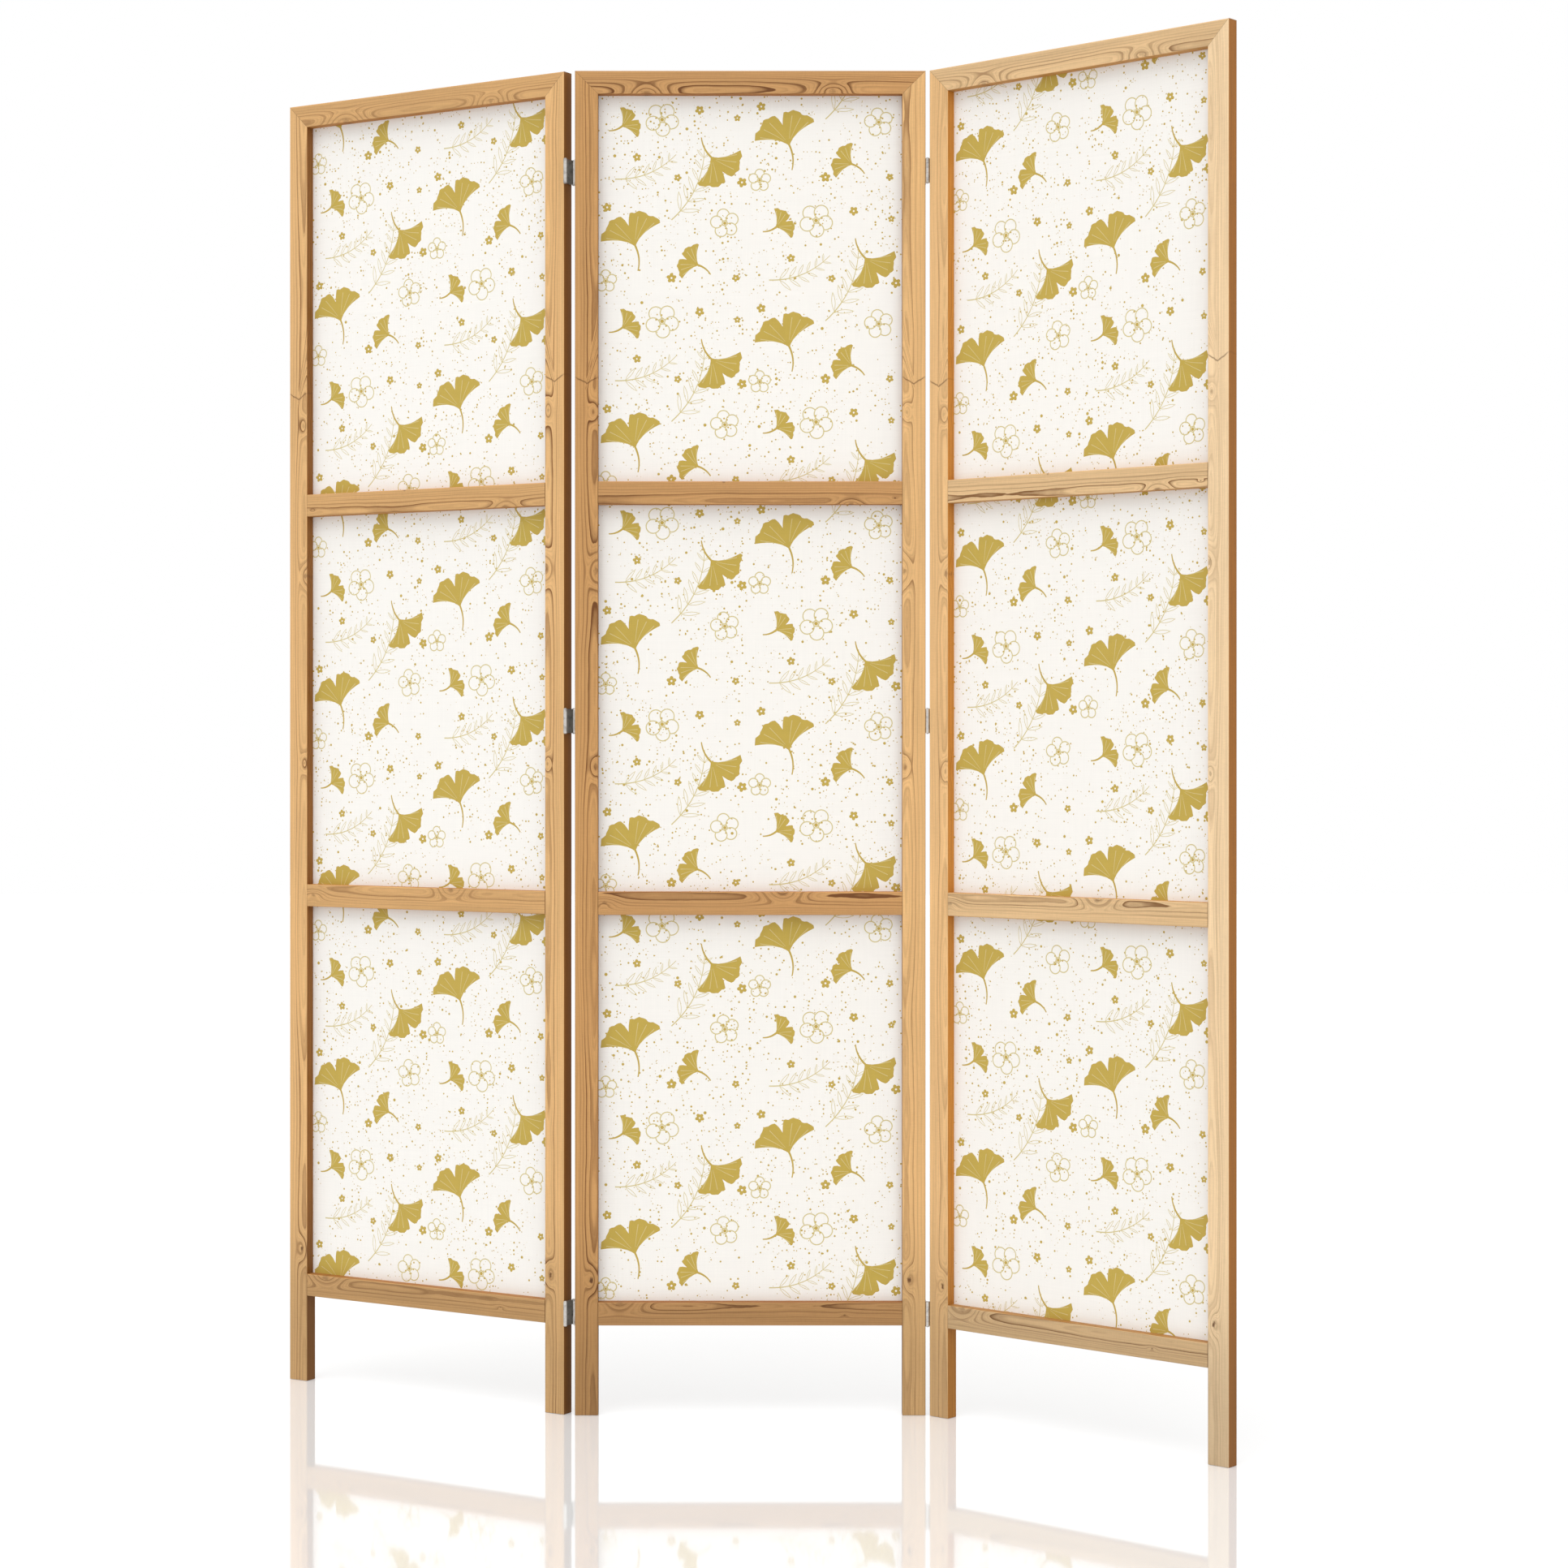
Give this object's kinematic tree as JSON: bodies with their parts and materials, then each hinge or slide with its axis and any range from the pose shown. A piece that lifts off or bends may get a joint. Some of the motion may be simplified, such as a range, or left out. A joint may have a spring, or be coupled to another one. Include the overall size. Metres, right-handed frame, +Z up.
{
  "type": "folding screen",
  "caption": "Room-dividing folding screen: pine-framed fabric panels with cross rails and feet, joined by two-way hinges so that they stand in a zigzag or fold flat.",
  "frame": {"origin": "centre of the standing screen's footprint, on the floor", "axes": "+Z up, +X to the right seen from the printed front, +Y to the back; the middle panel is parallel to X"},
  "size_m": [1.1946, 0.5424, 1.71],
  "materials": {
    "pine": "satin clear lacquer on honey pine",
    "beech_dowel": "bare beech",
    "printed_fabric": "matt woven cloth, off-white with a gold print on the front",
    "nickel_steel": "satin nickel-plated steel",
    "bright_steel": "bright zinc-plated steel"
  },
  "bodies": {
    "middle_panel": {"middle_left_stile": "pine", "middle_right_stile": "pine", "middle_top_rail": "pine", "middle_upper_rail": "pine", "middle_lower_rail": "pine", "middle_bottom_rail": "pine", "middle_fabric": "printed_fabric", "middle_side_battens": "pine", "middle_end_battens": "pine", "middle_dowels": "beech_dowel", "middle_brads": "bright_steel", "left_top_hinge_inner_leaf": "nickel_steel", "left_middle_hinge_inner_leaf": "nickel_steel", "left_bottom_hinge_inner_leaf": "nickel_steel", "left_hinge_inner_pins": "nickel_steel", "left_hinge_inner_screws": "bright_steel", "right_top_hinge_inner_leaf": "nickel_steel", "right_middle_hinge_inner_leaf": "nickel_steel", "right_bottom_hinge_inner_leaf": "nickel_steel", "right_hinge_inner_pins": "nickel_steel", "right_hinge_inner_screws": "bright_steel"},
    "left_hinge_links": {"left_top_hinge_link": "nickel_steel", "left_middle_hinge_link": "nickel_steel", "left_bottom_hinge_link": "nickel_steel"},
    "left_panel": {"left_left_stile": "pine", "left_right_stile": "pine", "left_top_rail": "pine", "left_upper_rail": "pine", "left_lower_rail": "pine", "left_bottom_rail": "pine", "left_fabric": "printed_fabric", "left_side_battens": "pine", "left_end_battens": "pine", "left_dowels": "beech_dowel", "left_brads": "bright_steel", "left_top_hinge_outer_leaf": "nickel_steel", "left_middle_hinge_outer_leaf": "nickel_steel", "left_bottom_hinge_outer_leaf": "nickel_steel", "left_hinge_outer_pins": "nickel_steel", "left_hinge_outer_screws": "bright_steel"},
    "right_hinge_links": {"right_top_hinge_link": "nickel_steel", "right_middle_hinge_link": "nickel_steel", "right_bottom_hinge_link": "nickel_steel"},
    "right_panel": {"right_left_stile": "pine", "right_right_stile": "pine", "right_top_rail": "pine", "right_upper_rail": "pine", "right_lower_rail": "pine", "right_bottom_rail": "pine", "right_fabric": "printed_fabric", "right_side_battens": "pine", "right_end_battens": "pine", "right_dowels": "beech_dowel", "right_brads": "bright_steel", "right_top_hinge_outer_leaf": "nickel_steel", "right_middle_hinge_outer_leaf": "nickel_steel", "right_bottom_hinge_outer_leaf": "nickel_steel", "right_hinge_outer_pins": "nickel_steel", "right_hinge_outer_screws": "bright_steel"}
  },
  "joints": [
    {"name": "left_back_fold", "type": "hinge", "parent": "middle_panel", "child": "left_hinge_links", "pos_m": [-0.20381, 0.04113, 0.855], "axis": [0, 0, -1], "range_deg": [-31, 149]},
    {"name": "left_front_fold", "type": "hinge", "parent": "left_hinge_links", "child": "left_panel", "pos_m": [-0.21359, 0.02484, 0.855], "axis": [0, 0, 1], "range_deg": [0, 90]},
    {"name": "right_front_fold", "type": "hinge", "parent": "middle_panel", "child": "right_hinge_links", "pos_m": [0.24719, 0.02213, 0.855], "axis": [0, 0, -1], "range_deg": [-41, 139]},
    {"name": "right_back_fold", "type": "hinge", "parent": "right_hinge_links", "child": "right_panel", "pos_m": [0.25966, 0.03647, 0.855], "axis": [0, 0, 1], "range_deg": [0, 90]}
  ]
}
